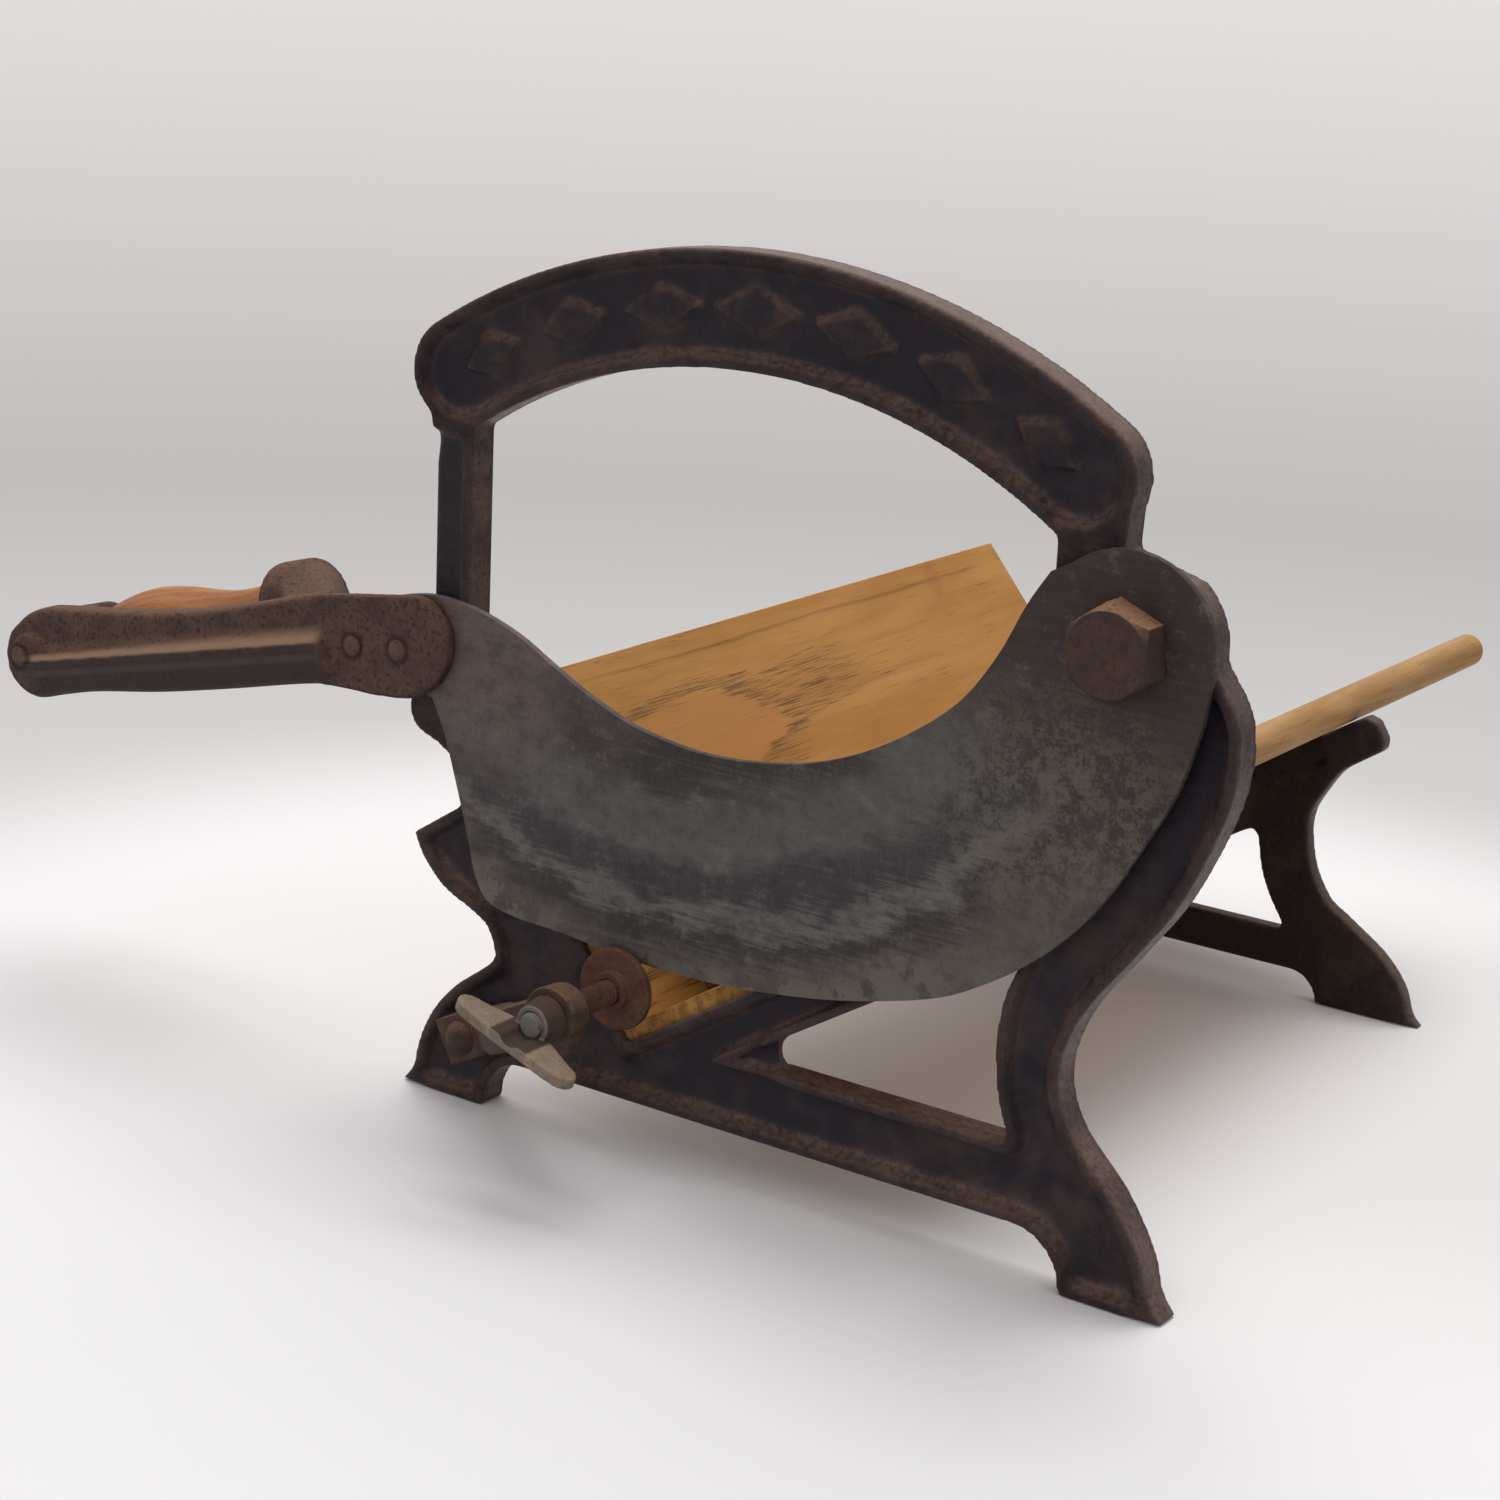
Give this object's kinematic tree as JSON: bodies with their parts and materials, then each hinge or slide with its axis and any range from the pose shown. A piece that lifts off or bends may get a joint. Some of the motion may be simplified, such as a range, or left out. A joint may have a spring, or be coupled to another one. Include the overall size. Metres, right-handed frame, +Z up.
{
  "type": "guillotine slicer",
  "caption": "Bench guillotine slicer: cast iron arched frame, hinged curved blade with a cranked wooden grip, V board trough on a rear stand, rod pusher and screw gauge.",
  "frame": {"origin": "on the floor below the middle of the overall box", "axes": "+Z up, +Y back along the trough, +X to the right seen from the blade side"},
  "size_m": [0.5649, 0.5484, 0.3449],
  "materials": {
    "frame_iron": "old black paint worn to brown on the rims",
    "stand_iron": "flat black with bare grey edges",
    "board_oak": "honey coloured oak, worn",
    "dowel_wood": "pale wood, varnished",
    "pusher_wood": "worn wood",
    "blade_steel": "dark tarnished steel with brown stains",
    "bolt_steel": "rusty brown steel",
    "handle_iron": "rough brown black iron",
    "grip_wood": "reddish turned wood",
    "bracket_iron": "grey brown rusty iron",
    "gauge_steel": "rusty red brown steel",
    "wing_iron": "tan grey iron",
    "small_steel": "dull steel"
  },
  "bodies": {
    "frame": {"front_frame": "frame_iron", "rear_stand": "stand_iron", "left_board": "board_oak", "bed_board": "board_oak", "left_board_screws": "small_steel", "bed_screws": "small_steel", "pivot_bolt": "bolt_steel", "pivot_washer": "bolt_steel", "spring_washer": "bolt_steel", "pivot_nut": "bolt_steel", "gauge_bracket": "bracket_iron", "bracket_bolt": "bracket_iron", "bracket_nut": "small_steel"},
    "blade": {"blade": "blade_steel", "handle_bar": "handle_iron", "handle_rivets": "handle_iron", "grip_rod": "small_steel", "rod_pin": "handle_iron"},
    "grip": {"grip": "grip_wood"},
    "gauge": {"gauge_rod": "gauge_steel", "gauge_disc": "gauge_steel"},
    "wing": {"wing_nut": "wing_iron"},
    "pusher": {"pusher_block": "pusher_wood", "pusher_rod": "dowel_wood", "pusher_screw": "small_steel"}
  },
  "joints": [
    {"name": "blade_pivot", "type": "hinge", "parent": "frame", "child": "blade", "pos_m": [0.24052, -0.19482, 0.2335], "axis": [0, 1, 0], "range_deg": [-12, 55]},
    {"name": "grip_spin", "type": "hinge", "parent": "blade", "child": "grip", "pos_m": [-0.14926, -0.17182, 0.17456], "axis": [-0.9603, 0, -0.279], "continuous": true},
    {"name": "gauge_slide", "type": "slide", "parent": "frame", "child": "gauge", "axis": [0, 1, 0], "range_m": [-0.022, 0.002]},
    {"name": "wing_turn", "type": "hinge", "parent": "frame", "child": "wing", "pos_m": [0.04402, -0.25882, 0.0683], "axis": [0, 1, 0], "continuous": true},
    {"name": "pusher_slide", "type": "slide", "parent": "frame", "child": "pusher", "axis": [0, 1, 0], "range_m": [-0.028, 0.262]}
  ]
}
